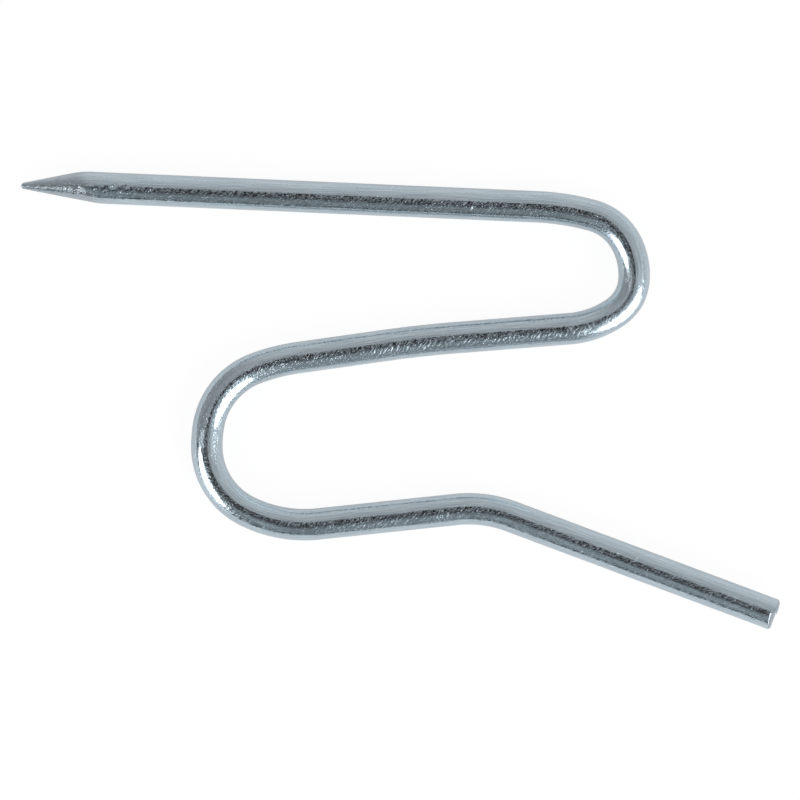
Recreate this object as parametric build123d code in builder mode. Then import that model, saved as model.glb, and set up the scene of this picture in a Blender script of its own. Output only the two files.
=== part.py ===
# Pin-on curtain hook, bent from one length of bright zinc-plated steel wire.
# The ground point is pushed up into the back of the curtain's heading tape, the wide hook
# bend hangs in the eye of the rail's glider, and the cranked tail keeps it from slipping off.
#
# Frame: the wire's centre line lies in the XY plane and +Z is square to the hook, which lies
# flat on its side. The origin is the pin's root, where the straight pin runs into its first
# bend. The pin lies along -X with its point at the far left, and the rest hangs below it.
# Sizes are millimetres and degrees. A turn is the angle that the centre line swings through.

from build123d import *
from math import radians, sin
import os

# Wire
wire_diameter = 1.6
wire_radius = wire_diameter / 2

# Pin, measured from its root to the end of its point
pin_length = 26.0

# Point: a cone ground a little out of line with the wire, so that its end stands slightly
# to the side of the wire's axis. Tumbling has blunted the end and broken the shoulder.
point_half_angle = 11.0
point_lean = 2.5
point_offset = 0.07
point_end_radius = 0.17
point_shoulder_chamfer = 0.25

# Pin bend, from the pin round to the middle leg. The wire springs away from its former
# gently, turns hardest at two shoulders and is flatter across the nose between them.
pin_bend_entry_radius = 13.0
pin_bend_entry_turn = 12.5
pin_bend_upper_shoulder_radius = 2.75
pin_bend_upper_shoulder_turn = 46.5
pin_bend_nose_radius = 3.45
pin_bend_nose_turn = 34.0
pin_bend_lower_shoulder_radius = 2.15
pin_bend_lower_shoulder_turn = 50.0
pin_bend_exit_radius = 4.8
pin_bend_exit_turn = 30.0

# Middle leg, straight at both ends with a slight set between them
middle_leg_right_run = 5.7
middle_leg_set_radius = 60.0
middle_leg_set_turn = 3.5
middle_leg_left_run = 4.4

# Hook bend, from the middle leg round to the lower leg. The glider's eye seats in it.
hook_bend_entry_radius = 10.0
hook_bend_entry_turn = 12.5
hook_bend_upper_shoulder_radius = 3.75
hook_bend_upper_shoulder_turn = 62.0
hook_bend_nose_radius = 7.45
hook_bend_nose_turn = 6.5
hook_bend_lower_shoulder_radius = 3.65
hook_bend_lower_shoulder_turn = 64.5
hook_bend_exit_radius = 6.5
hook_bend_exit_turn = 32.5

# Lower leg, and the crank that throws the tail outwards
lower_leg_run = 7.0
crank_radius = 6.1
crank_turn = 26.5

# Tail and its sheared end: the blade has rolled the rim over all round, and the lower half
# of the end has broken back towards the front face
tail_length = 14.2
sheared_rim_radius = 0.14
shear_break_depth = 0.2

# Tools: the wire is cut this much over length before its point is ground, and every cutter
# clears the steel that it passes by the same amount
cutter_clearance = 1.0
grinding_length = wire_diameter / sin(radians(point_half_angle))
break_reach = 1 + cutter_clearance / wire_radius

pin_bend = [
    (pin_bend_entry_radius, pin_bend_entry_turn),
    (pin_bend_upper_shoulder_radius, pin_bend_upper_shoulder_turn),
    (pin_bend_nose_radius, pin_bend_nose_turn),
    (pin_bend_lower_shoulder_radius, pin_bend_lower_shoulder_turn),
    (pin_bend_exit_radius, pin_bend_exit_turn),
]
middle_leg_set = [(middle_leg_set_radius, middle_leg_set_turn)]
hook_bend = [
    (hook_bend_entry_radius, hook_bend_entry_turn),
    (hook_bend_upper_shoulder_radius, hook_bend_upper_shoulder_turn),
    (hook_bend_nose_radius, hook_bend_nose_turn),
    (hook_bend_lower_shoulder_radius, hook_bend_lower_shoulder_turn),
    (hook_bend_exit_radius, hook_bend_exit_turn),
]
crank = [(crank_radius, crank_turn)]


def feed(end, length):
    """A straight run of wire, on from the end of the last one."""
    return Line(end @ 1, end @ 1 + (end % 1) * length)


def bend(end, arcs, clockwise=False):
    """A bend on from the last run: arcs of (radius, turn), each tangent to the one before."""
    for radius, turn in arcs:
        swing = -turn if clockwise else turn
        end = JernArc(start=end @ 1, tangent=end % 1, radius=radius, arc_size=swing)
    return end


with BuildPart() as hook_wire:
    # The wire is fed and bent along its centre line, starting with the blank for the pin
    with BuildLine(Plane.XY) as centre_line:
        run = Line((-pin_length - cutter_clearance, 0), (0, 0))
        run = bend(run, pin_bend, clockwise=True)
        run = feed(run, middle_leg_right_run)
        run = bend(run, middle_leg_set)
        run = feed(run, middle_leg_left_run)
        run = bend(run, hook_bend)
        run = feed(run, lower_leg_run)
        run = bend(run, crank, clockwise=True)
        tail = feed(run, tail_length)
    with BuildSketch(Plane(centre_line.line @ 0, z_dir=centre_line.line % 0)):
        Circle(wire_radius)
    sweep()

    # The rim of the tail's sheared end is rolled over
    fillet(hook_wire.edges().filter_by(GeomType.CIRCLE).sort_by_distance(tail @ 1)[0], sheared_rim_radius)

    # The lower half of that end slopes back from the wire's middle to its front
    lower_side = (tail % 1).cross(Vector(0, 0, 1))
    with BuildSketch(Plane(tail @ 1, x_dir=tail % 1, z_dir=lower_side)):
        with BuildLine():
            Polyline(
                (0, 0),
                (-shear_break_depth * break_reach, wire_radius * break_reach),
                (cutter_clearance, wire_radius * break_reach),
                (cutter_clearance, 0),
                close=True,
            )
        make_face()
    extrude(amount=wire_radius + cutter_clearance, mode=Mode.SUBTRACT)

    # The point is ground: all the steel outside a blunt cone is taken away
    point_plane = Plane((-pin_length, -point_offset, 0)).rotated((0, 0, point_lean))
    with BuildSketch(point_plane):
        with BuildLine():
            blunt = JernArc(
                start=(0, 0),
                tangent=(0, 1),
                radius=point_end_radius,
                arc_size=point_half_angle - 90,
            )
            cone = PolarLine(blunt @ 1, grinding_length, point_half_angle)
            Polyline(
                cone @ 1,
                (-2 * cutter_clearance, (cone @ 1).Y),
                (-2 * cutter_clearance, 0),
                (0, 0),
            )
        make_face()
    revolve(axis=Axis(point_plane.origin, point_plane.x_dir), mode=Mode.SUBTRACT)
    shoulder = hook_wire.edges(Select.NEW).sort_by(SortBy.LENGTH)[-1]
    chamfer(shoulder, point_shoulder_chamfer)

hook_wire.part.label = "hook_wire"

os.makedirs("parts", exist_ok=True)
export_step(hook_wire.part, "parts/hook_wire.step")
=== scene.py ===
# Pin-on curtain hook, bent from one length of bright zinc-plated steel wire. It lies flat on
# its side, as it would come to rest, and the camera looks straight down on it.
from math import atan2, cos, exp, hypot, pi, radians, sin, sqrt, tan
from random import Random

import bmesh
import bpy
from mathutils import Matrix, Vector, noise


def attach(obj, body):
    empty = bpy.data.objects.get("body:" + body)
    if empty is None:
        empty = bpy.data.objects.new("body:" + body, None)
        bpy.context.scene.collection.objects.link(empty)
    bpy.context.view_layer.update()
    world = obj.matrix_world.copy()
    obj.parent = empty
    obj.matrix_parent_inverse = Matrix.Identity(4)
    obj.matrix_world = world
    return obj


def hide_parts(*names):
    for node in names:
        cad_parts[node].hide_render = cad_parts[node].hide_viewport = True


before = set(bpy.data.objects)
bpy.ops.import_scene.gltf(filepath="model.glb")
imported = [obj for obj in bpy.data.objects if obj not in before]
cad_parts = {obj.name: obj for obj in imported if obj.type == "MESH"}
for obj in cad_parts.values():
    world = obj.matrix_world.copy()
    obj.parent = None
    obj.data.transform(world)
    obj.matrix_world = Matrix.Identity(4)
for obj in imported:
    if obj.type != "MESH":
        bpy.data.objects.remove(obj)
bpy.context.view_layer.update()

# The wire: mild steel, drawn to 1.6 mm and cut to length off a coil. It is modelled as the
# straight rod that the hook is made from, turned about X with the tip of its point at x = 0,
# and its point, its end and its marks are worked on it before it is bent.
MM = 0.001
wire_radius = 0.8 * MM
pin_length = 26.0 * MM
middle_leg_right_run = 5.7 * MM
middle_leg_left_run = 4.4 * MM
lower_leg_run = 7.0 * MM
tail_length = 14.2 * MM

# Each bend is a chain of arcs: a radius in mm and the degrees that the wire swings through,
# with left turns counted up
pin_bend = [(13.0, -12.5), (2.75, -46.5), (3.45, -34.0), (2.15, -50.0), (4.8, -30.0)]
middle_leg_set = [(60.0, 3.5)]
hook_bend = [(10.0, 12.5), (3.75, 62.0), (7.45, 6.5), (3.65, 64.5), (6.5, 32.5)]
crank = [(6.1, -26.5)]

bends = []
fed = 0.0
for run, arcs in (
    (pin_length, pin_bend),
    (middle_leg_right_run, middle_leg_set),
    (middle_leg_left_run, hook_bend),
    (lower_leg_run, crank),
):
    fed += run
    for radius, turn in arcs:
        length = radius * MM * radians(abs(turn))
        bends.append((fed, length, radians(turn)))
        fed += length
wire_length = fed + tail_length

# The rod's half outline, from the tip of the point to the middle of the tail's end. The
# shearing blade has rolled the rim of that end over.
point_half_angle = radians(11.0)
point_end_radius = 0.17 * MM
point_end_turn = pi / 2 - point_half_angle
point_end_depth = point_end_radius * (1 - cos(point_end_turn))
sheared_rim_radius = 0.18 * MM
sheared_run = 0.5 * MM
ring_spacing = 0.075 * MM
sides = 64
tolerance = 0.0001 * MM

rod = bmesh.new()
tip = rod.verts.new((0, 0, 0))
shoulder = rod.verts.new((point_end_depth, wire_radius, 0))
before_end = rod.verts.new((wire_length - sheared_run, wire_radius, 0))
rim = rod.verts.new((wire_length - sheared_rim_radius, wire_radius, 0))
point_end = rod.edges.new((tip, shoulder))
barrel = rod.edges.new((shoulder, before_end))
tail_end = rod.edges.new((before_end, rim))
rim_middle = (wire_length - sheared_rim_radius, wire_radius - sheared_rim_radius, 0)
rolled = bmesh.ops.spin(
    rod, geom=[rim], cent=rim_middle, axis=(0, 0, -1), angle=pi / 2, steps=6
)["geom_last"]
end_face = rod.edges.new((rolled[0], rod.verts.new((wire_length, 0, 0))))
rings = round(wire_length / ring_spacing)
for edge, cuts in ((point_end, 9), (barrel, rings), (tail_end, 11), (end_face, 12)):
    bmesh.ops.subdivide_edges(rod, edges=[edge], cuts=cuts)
bmesh.ops.spin(
    rod, geom=rod.verts[:] + rod.edges[:], cent=(0, 0, 0), axis=(1, 0, 0), angle=2 * pi,
    steps=sides, use_merge=True,
)
bmesh.ops.remove_doubles(rod, verts=rod.verts[:], dist=tolerance)

# Nicks that the hopper, the bending tools and the tumbling barrel leave. Each has its place
# along the wire and round it, from the left-hand side over the front, then its length, width,
# depth and slant, in mm and degrees. The skin is made finer under them.
nicks = [
    (2.9, 96, 0.24, 0.12, 0.028, 42),
    (3.8, 100, 0.22, 0.11, 0.028, 48),
    (4.3, 104, 0.36, 0.12, 0.032, 36),
    (4.7, 87, 0.38, 0.13, 0.040, 38),
    (5.0, 110, 0.30, 0.13, 0.034, 42),
    (5.3, 86, 0.24, 0.12, 0.032, 44),
    (5.7, 103, 0.22, 0.11, 0.030, 50),
    (6.6, 94, 0.20, 0.11, 0.028, 50),
    (10.3, 108, 0.14, 0.09, 0.014, 55),
    (14.5, 110, 0.12, 0.09, 0.014, 60),
    (14.9, 108, 0.12, 0.09, 0.014, 55),
    (16.4, 158, 0.34, 0.10, 0.026, 52),
    (16.6, 162, 0.30, 0.09, 0.022, 55),
    (21.6, 103, 0.14, 0.09, 0.014, 50),
    (22.8, 109, 0.22, 0.10, 0.020, 50),
    (23.7, 106, 0.18, 0.09, 0.016, 50),
    (26.0, 106, 0.14, 0.09, 0.014, 55),
    (30.2, 172, 0.20, 0.10, 0.018, 20),
    (35.0, 135, 0.18, 0.09, 0.016, 60),
    (60.1, 12, 0.40, 0.12, 0.018, 10),
    (74.9, 46, 0.34, 0.12, 0.012, 70),
    (76.3, 44, 0.36, 0.09, 0.018, 4),
    (80.6, 75, 0.14, 0.09, 0.016, 50),
]

# The straightener has chattered along the middle leg, and more faintly from the lower leg
# through the crank, and has left a row of short slanting strokes on each.
chatter = Random(5)
for along, end, around, deepest in ((37.3, 47.5, 67, 0.011), (67.0, 78.5, 110, 0.006)):
    while along < end:
        nicks.append((
            along, around + chatter.uniform(-6, 6), chatter.uniform(0.26, 0.36), 0.075,
            chatter.uniform(0.5, 1.0) * deepest, chatter.uniform(48, 60),
        ))
        along += chatter.uniform(0.16, 0.36)
nicks = [
    (along * MM, radians(around), length * MM, width * MM, depth * MM, radians(slant))
    for along, around, length, width, depth, slant in nicks
]


def at_nick(vertex, nick):
    """Whether a vertex of the straight rod lies at a nick or just beyond its ends."""
    along, around, length = nick[:3]
    margin = 0.55 * length
    if abs(vertex.co.x - along) > margin:
        return False
    return abs(atan2(vertex.co.z, vertex.co.y) - around) * wire_radius < margin


fine = {v for v in rod.verts if any(at_nick(v, nick) for nick in nicks)}
bmesh.ops.subdivide_edges(
    rod, edges=[edge for edge in rod.edges if not fine.isdisjoint(edge.verts)], cuts=2,
    use_grid_fill=True,
)
for vertex in rod.verts:
    if point_end_depth < vertex.co.x < wire_length - 2 * sheared_rim_radius:
        round_place = Vector((0, vertex.co.y, vertex.co.z)).normalized() * wire_radius
        vertex.co.yz = round_place.yz

# The point is ground as a cone that leans a little out of line with the wire, so that its
# tip stands to the side of the wire's axis. Tumbling has blunted the tip and rounded the
# shoulder. A vertex keeps how far its steel was worked bare, by grinding or by shearing.
point_lean = radians(2.5)
point_offset = 0.07 * MM
point_shoulder_radius = 4.0 * MM
point_reach = 4.5 * MM
worked_edge = 0.16 * MM
worked = rod.verts.layers.float.new("worked")


def eased(share):
    """A share held between 0 and 1, with a smooth start and a smooth end."""
    share = min(max(share, 0), 1)
    return share * share * (3 - 2 * share)


def grind(vertex):
    """Draws a vertex of the rod in to the cone, where the cone cuts inside the wire."""
    x, y, z = vertex.co
    around = atan2(z, y)
    if x < point_end_depth - tolerance:
        turned = point_end_turn * x / point_end_depth
        x = point_end_radius * (1 - cos(turned))
        cone = point_end_radius * sin(turned)
    else:
        cone = point_end_radius * sin(point_end_turn)
        cone += (x - point_end_depth) * tan(point_half_angle)
    fade = 1 - eased(x / point_reach - 1)
    lean = point_lean * fade
    middle = (x * sin(point_lean) - point_offset) * fade
    side = cos(around)
    wire = sqrt(wire_radius**2 - (middle * sin(around)) ** 2) - middle * side
    blend = point_shoulder_radius * (point_half_angle + lean * side) ** 2 / 2
    near = max(blend - abs(cone - wire), 0) / blend
    reach = min(cone, wire) - near**2 * blend / 4
    vertex.co.x = x - reach * side * sin(lean)
    vertex.co.y = middle + reach * side * cos(lean)
    vertex.co.z = reach * sin(around)
    vertex[worked] = eased((wire - cone) / worked_edge + 0.5)


for vertex in rod.verts:
    if vertex.co.x < 2 * point_reach:
        grind(vertex)

# A little more than the lower half of the tail's end has broken away in the shear, on a rough
# slope that runs back from the wire's middle to its front face and turns into the skin over a
# worn edge. Its torn steel is scored deeper than the rest.
shear_break_depth = 0.2 * MM
break_slope = shear_break_depth / wire_radius
break_top = 0.08 * MM
break_edge = 0.03 * MM
break_grain = 0.09 * MM
break_roughness = 0.15 * MM
step_width = 0.02 * MM
torn = 3.0
end_start = wire_length - 2 * shear_break_depth
for side in (break_top, break_top - step_width):
    sheared = {v for v in rod.verts if v.co.x > end_start}
    cut = [v for v in rod.verts if v in sheared]
    cut += [edge for edge in rod.edges if not sheared.isdisjoint(edge.verts)]
    cut += [face for face in rod.faces if not sheared.isdisjoint(face.verts)]
    bmesh.ops.bisect_plane(
        rod, geom=cut, dist=tolerance, plane_co=(0, side, 0), plane_no=(0, 1, 0),
    )
for vertex in rod.verts:
    x, y, z = vertex.co
    rough = (0.5 + 0.5 * noise.noise(Vector((0, y, z)) / break_grain)) * z / wire_radius
    broken = wire_length - z * break_slope - break_roughness * rough
    past = x - broken + break_edge
    if y < break_top - step_width / 2 and z > 0 and past > 0:
        turned = min(past / break_edge, 1)
        widest = wire_radius - break_edge * (1 - sqrt(1 - turned**2))
        reach = min(hypot(y, z), widest)
        vertex.co.yz = Vector((y, z)).normalized() * reach
        vertex.co.x = min(x, broken)
        vertex[worked] = torn * eased(turned)
    elif x > wire_length - sheared_rim_radius:
        vertex[worked] = 1.0
bmesh.ops.remove_doubles(
    rod, verts=[v for v in rod.verts if v.co.x > end_start], dist=5 * tolerance,
)

# What a drawn wire's skin keeps of its making: the straightener's rolls leave short marks
# that wind round the wire at this slant, and the surface keeps a slight long wave. The blunt
# tip and the sheared end have neither.
straightener_slant = radians(40)
winding = tan(straightener_slant) / wire_radius
straight = rod.verts.layers.float_vector.new("straight")
wound = rod.verts.layers.float_vector.new("wound")
for vertex in rod.verts:
    x, y, z = vertex.co
    vertex[straight] = (x, y, z)
    angle = atan2(z, y) + winding * x
    vertex[wound] = (x, hypot(y, z) * cos(angle), hypot(y, z) * sin(angle))

wave_height = 0.004 * MM
wave_length = 2.4 * MM
wave_width = 0.7 * MM
roll_mark_depth = 0.0020 * MM
roll_mark_length = 0.42 * MM
roll_mark_width = 0.16 * MM
unworn_tip = 0.18 * MM


def wear(vertex):
    """How far the skin lies under the true round of the wire at a vertex."""
    x, y, z = vertex[wound]
    mark = noise.noise(Vector((x / roll_mark_length, y / roll_mark_width, z / roll_mark_width)))
    x, y, z = vertex[straight]
    wave = noise.noise(Vector((x / wave_length, y / wave_width, z / wave_width)))
    worn = wave_height * (0.5 + 0.5 * wave) + roll_mark_depth * (1 + mark)
    for along, around, length, width, depth, slant in nicks:
        ahead = x - along
        if abs(ahead) < length:
            across = (atan2(z, y) - around) * wire_radius
            run = ahead * cos(slant) - across * sin(slant)
            off = ahead * sin(slant) + across * cos(slant)
            worn += depth * exp(-((2 * run / length) ** 2) - (2 * off / width) ** 2)
    return worn


for vertex in rod.verts:
    x, y, z = vertex.co
    if unworn_tip < x < end_start:
        inwards = Vector((0, -y, -z)).normalized()
        vertex.co += inwards * wear(vertex)

# The rod is bent from its tail towards its pin. At each bend the wire wraps round the former
# as far as the arc goes, and all beyond it swings round with it.
for start, length, turn in reversed(bends):
    former = Vector((start, length / turn, 0))
    whole_swing = Matrix.Rotation(turn, 3, "Z")
    for vertex in rod.verts:
        wrapped = vertex[straight].x - start
        if wrapped <= 0:
            continue
        if wrapped < length:
            swing = Matrix.Rotation(turn * wrapped / length, 3, "Z")
        else:
            swing = whole_swing
            wrapped = length
        vertex.co = former + swing @ (vertex.co - Vector((wrapped, 0, 0)) - former)
bmesh.ops.translate(rod, verts=rod.verts[:], vec=(-pin_length, 0, 0))
bmesh.ops.recalc_face_normals(rod, faces=rod.faces[:])

wire_mesh = bpy.data.meshes.new("plated_wire")
rod.to_mesh(wire_mesh)
rod.free()
wire_mesh.shade_smooth()
wire_mesh.set_sharp_from_angle(angle=radians(40))
plated_wire = bpy.data.objects.new("plated_wire", wire_mesh)
bpy.context.scene.collection.objects.link(plated_wire)


def linear(hex_colour):
    """An sRGB hex colour, such as "#C5CFD7", as linear red, green, blue and alpha."""
    parts = [int(hex_colour[i : i + 2], 16) / 255 for i in (1, 3, 5)]
    return (*[p / 12.92 if p <= 0.04045 else ((p + 0.055) / 1.055) ** 2.4 for p in parts], 1)


def add(tree, kind, inputs=(), **settings):
    """Adds a node with its settings. An input is a value, or another node's output to link."""
    made = tree.nodes.new(kind)
    for name, value in settings.items():
        setattr(made, name, value)
    for socket, value in dict(inputs).items():
        if isinstance(value, bpy.types.NodeSocket):
            tree.links.new(value, made.inputs[socket])
        else:
            made.inputs[socket].default_value = value
    return made


# Bright zinc plate with a clear blue passivation, laid on the drawn wire in a barrel. It
# gives a cool, blue-grey mirror with a fine grain, sparse slanting specks that catch the
# light, and a greyer, scratched finish where the wire was ground and sheared before plating.
zinc = bpy.data.materials.new("bright_zinc_plate_clear_passivated")
zinc.use_nodes = True
tree = zinc.node_tree
tree.nodes.clear()
along_wire = add(tree, "ShaderNodeAttribute", attribute_name="straight")
round_wire = add(tree, "ShaderNodeAttribute", attribute_name="wound")
bare_steel = add(tree, "ShaderNodeAttribute", attribute_name="worked")


def noise_at(place, long, wide, detail):
    """Noise with a grain of this length along the wire and this width round it."""
    spread = add(
        tree, "ShaderNodeMapping",
        {"Vector": place.outputs["Vector"], "Scale": (1 / long, 1 / wide, 1 / wide)},
    )
    return add(
        tree, "ShaderNodeTexNoise",
        {"Vector": spread.outputs["Vector"], "Scale": 1.0, "Detail": detail},
    ).outputs["Fac"]


def ranged(value, low, high, at_low, at_high, slope="LINEAR"):
    """One value below a level and another above it, with a straight slope between."""
    return add(
        tree, "ShaderNodeMapRange",
        {"Value": value, "From Min": low, "From Max": high, "To Min": at_low, "To Max": at_high},
        interpolation_type=slope,
    ).outputs["Result"]


def bump(height, distance, under=None):
    """Relief of this depth, laid over the relief of another bump."""
    inputs = {"Height": height, "Strength": 1.0, "Distance": distance}
    if under is not None:
        inputs["Normal"] = under
    return add(tree, "ShaderNodeBump", inputs).outputs["Normal"]


def colour_between(share, first, second):
    """A colour that goes from the first to the second as a share goes from 0 to 1. The colours
    of a mix node are its sockets 6 and 7, and the mixed one is its socket 2."""
    return add(
        tree, "ShaderNodeMix", {"Factor": share, 6: first, 7: second}, data_type="RGBA",
    ).outputs[2]


pit_depth = 0.0032 * MM
speck_depth = 0.0042 * MM
scratch_depth = 0.006 * MM
plated_roughness = 0.10
worked_roughness = 0.22
worked_dullness = 0.6

pits = ranged(noise_at(along_wire, 0.09 * MM, 0.06 * MM, 0.0), 0.60, 0.72, 0.0, 1.0)
specks = ranged(noise_at(round_wire, 0.18 * MM, 0.055 * MM, 1.0), 0.54, 0.76, 0.0, 1.0)
drawn = bump(specks, speck_depth, bump(pits, pit_depth))
scratches = ranged(noise_at(round_wire, 0.24 * MM, 0.11 * MM, 2.0), 0.3, 0.7, -0.5, 0.5)
scored = add(
    tree, "ShaderNodeMath", {0: scratches, 1: bare_steel.outputs["Fac"]}, operation="MULTIPLY",
)
relief = bump(scored.outputs["Value"], scratch_depth, drawn)
haze = ranged(bare_steel.outputs["Fac"], 0.0, 1.0, plated_roughness, worked_roughness)
streaks = ranged(noise_at(along_wire, 1.60 * MM, 0.05 * MM, 2.0), 0.3, 0.7, 0.0, 1.0)
film = colour_between(streaks, linear("#B4C1CA"), linear("#CCDAE2"))
dulled = ranged(bare_steel.outputs["Fac"], 0.0, 1.0, 0.0, worked_dullness)
finish = colour_between(dulled, film, linear("#A9B1B6"))
surface = add(
    tree, "ShaderNodeBsdfPrincipled",
    {"Base Color": finish, "Metallic": 1.0, "Roughness": haze, "Normal": relief},
)
add(tree, "ShaderNodeOutputMaterial", {"Surface": surface.outputs["BSDF"]})
wire_mesh.materials.append(zinc)
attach(plated_wire, "root")
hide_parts("hook_wire")

# The floor: matt white card under the hook. It is lit like the hook, and a share of plain
# white keeps it pale to the camera and to what mirrors it, so that only a faint shadow shows.
card = bmesh.new()
bmesh.ops.create_grid(card, x_segments=1, y_segments=1, size=1.5)
bmesh.ops.translate(card, verts=card.verts[:], vec=(0, 0, -wire_radius))
floor_mesh = bpy.data.meshes.new("floor")
card.to_mesh(floor_mesh)
card.free()
floor = bpy.data.objects.new("floor", floor_mesh)
bpy.context.scene.collection.objects.link(floor)

camera_share = 0.9
mirror_share = 0.3
white_strength = 1.04
white_card = bpy.data.materials.new("matt_white_card")
white_card.use_nodes = True
tree = white_card.node_tree
tree.nodes.clear()
rays = add(tree, "ShaderNodeLightPath")
mirrored = add(
    tree, "ShaderNodeMath", {0: rays.outputs["Is Glossy Ray"], 1: mirror_share},
    operation="MULTIPLY",
)
share = add(
    tree, "ShaderNodeMath",
    {0: rays.outputs["Is Camera Ray"], 1: camera_share, 2: mirrored.outputs["Value"]},
    operation="MULTIPLY_ADD",
)
paper = add(tree, "ShaderNodeBsdfDiffuse", {"Color": linear("#ECECEC")})
white = add(tree, "ShaderNodeEmission", {"Color": linear("#FFFFFF"), "Strength": white_strength})
mixed = add(
    tree, "ShaderNodeMixShader",
    {0: share.outputs["Value"], 1: paper.outputs["BSDF"], 2: white.outputs["Emission"]},
)
add(tree, "ShaderNodeOutputMaterial", {"Surface": mixed.outputs["Shader"]})
floor_mesh.materials.append(white_card)

# The studio: pale walls, lighter behind the hook than in front of it. A dark patch hangs
# overhead round the camera, and the front wall has a pale strip on its left. A soft box
# stands at each side in front, and a weak reflector to the right.
world = bpy.data.worlds.new("studio")
world.use_nodes = True
bpy.context.scene.world = world
tree = world.node_tree
tree.nodes.clear()
towards = add(tree, "ShaderNodeTexCoord")
parts = add(tree, "ShaderNodeSeparateXYZ", {"Vector": towards.outputs["Generated"]})


def graded(value, low, high, at_low, at_high):
    """One brightness below a value and another above it, with a smooth step between."""
    return ranged(value, low, high, at_low, at_high, slope="SMOOTHSTEP")


# A place on the walls is a direction from the hook: its height goes from 0 at the floor to 1
# overhead, and sideways from -1 at the far left to 1 at the far right.
height = parts.outputs["Z"]
sideways = parts.outputs["X"]
back_wall = graded(height, 0.25, 0.93, 0.72, 0.53)
left_share = graded(sideways, -0.70, -0.20, 0.54, 1.0)
back_wall = add(tree, "ShaderNodeMath", {0: back_wall, 1: left_share}, operation="MULTIPLY")
front_wall = graded(height, 0.25, 0.50, 0.09, graded(height, 0.78, 0.985, 0.24, 0.05))
front_wall = graded(height, 0.12, 0.16, 1.00, front_wall)
pale_strip = graded(height, 0.30, 0.55, front_wall, graded(height, 0.89, 0.97, 0.44, front_wall))
pale_strip = graded(sideways, -0.30, -0.22, front_wall, pale_strip)
front_wall = graded(sideways, -0.10, -0.06, pale_strip, front_wall)
front_wall = graded(sideways, 0.05, 0.20, front_wall, graded(sideways, 0.20, 0.50, 0.40, 0.60))
backness = graded(parts.outputs["Y"], -0.02, 0.04, 0.0, 1.0)
cool_tint = (0.935, 1, 1.03, 1)
patch_tint = (1.14, 1, 1.07, 1)
wall_tone = colour_between(backness, cool_tint, linear("#FFFFFF"))

patch_half_width = 0.13
patch_half_length = 0.31
patch_shift = 0.03
patch_brightness = 0.02
patch_place = add(
    tree, "ShaderNodeVectorMath",
    {
        0: towards.outputs["Generated"],
        1: (1 / patch_half_width, 1 / patch_half_length, 0),
        2: (-patch_shift / patch_half_width, 0, 0),
    },
    operation="MULTIPLY_ADD",
).outputs["Vector"]
patch_squared = add(
    tree, "ShaderNodeVectorMath", {0: patch_place, 1: patch_place}, operation="MULTIPLY",
)
patch_reach = add(
    tree, "ShaderNodeVectorMath", {0: patch_squared.outputs["Vector"]}, operation="LENGTH",
)
overhead = graded(patch_reach.outputs["Value"], 0.94, 1.04, 1.0, 0.0)
behind = add(
    tree, "ShaderNodeMix",
    {"Factor": overhead, "A": back_wall.outputs["Value"], "B": patch_brightness},
    data_type="FLOAT",
)
room = add(
    tree, "ShaderNodeMix", {"Factor": backness, "A": front_wall, "B": behind.outputs["Result"]},
    data_type="FLOAT",
)
tone = colour_between(overhead, wall_tone, patch_tint)
rays = add(tree, "ShaderNodeLightPath")
level = add(
    tree, "ShaderNodeMix",
    {"Factor": rays.outputs["Is Camera Ray"], "A": room.outputs["Result"], "B": 1.0},
    data_type="FLOAT",
)
backdrop = add(
    tree, "ShaderNodeBackground", {"Color": tone, "Strength": level.outputs["Result"]},
)
add(tree, "ShaderNodeOutputWorld", {"Surface": backdrop.outputs["Background"]})


def soft_box(name, azimuth, height, width, tall, lean, brightness, distance=0.6):
    """A lamp that faces the hook: azimuth is counted from +X, height above the floor, and lean
    is how far its upper end swings towards smaller azimuths."""
    data = bpy.data.lights.new(name, "AREA")
    data.shape = "ELLIPSE"
    data.size = 2 * distance * tan(radians(width) / 2)
    data.size_y = 2 * distance * tan(radians(tall) / 2)
    data.energy = brightness * pi * (pi / 4) * data.size * data.size_y
    lamp = bpy.data.objects.new(name, data)
    raised = Matrix.Rotation(-radians(height), 3, "Y") @ Vector((distance, 0, 0))
    away = Matrix.Rotation(radians(azimuth), 3, "Z") @ raised
    lamp.location = away
    aim = away.to_track_quat("Z", "Y").to_matrix() @ Matrix.Rotation(radians(lean), 3, "Z")
    lamp.rotation_euler = aim.to_euler()
    lamp.visible_camera = False
    bpy.context.scene.collection.objects.link(lamp)


soft_box("soft_box_left", azimuth=209, height=30, width=34, tall=48, lean=35, brightness=3.0)
soft_box("soft_box_right", azimuth=322, height=26, width=48, tall=58, lean=-30, brightness=3.0)
soft_box("reflector_right", azimuth=4, height=44, width=14, tall=36, lean=0, brightness=0.12)

# The camera: a long lens straight above the hook, turned a little so that the pin runs
# slightly downhill to the right.
view_middle = (-6.453 * MM, -10.026 * MM)
view_width = 40.32 * MM
view_turn = radians(2.49)
camera_data = bpy.data.cameras.new("camera")
camera_data.lens = 200
camera_data.sensor_width = 36
camera_data.clip_start = 0.01
camera = bpy.data.objects.new("camera", camera_data)
camera.location = (*view_middle, view_width * camera_data.lens / camera_data.sensor_width)
camera.rotation_euler = (0, 0, view_turn)
bpy.context.scene.collection.objects.link(camera)
bpy.context.scene.camera = camera
bpy.context.scene.view_settings.view_transform = "Standard"
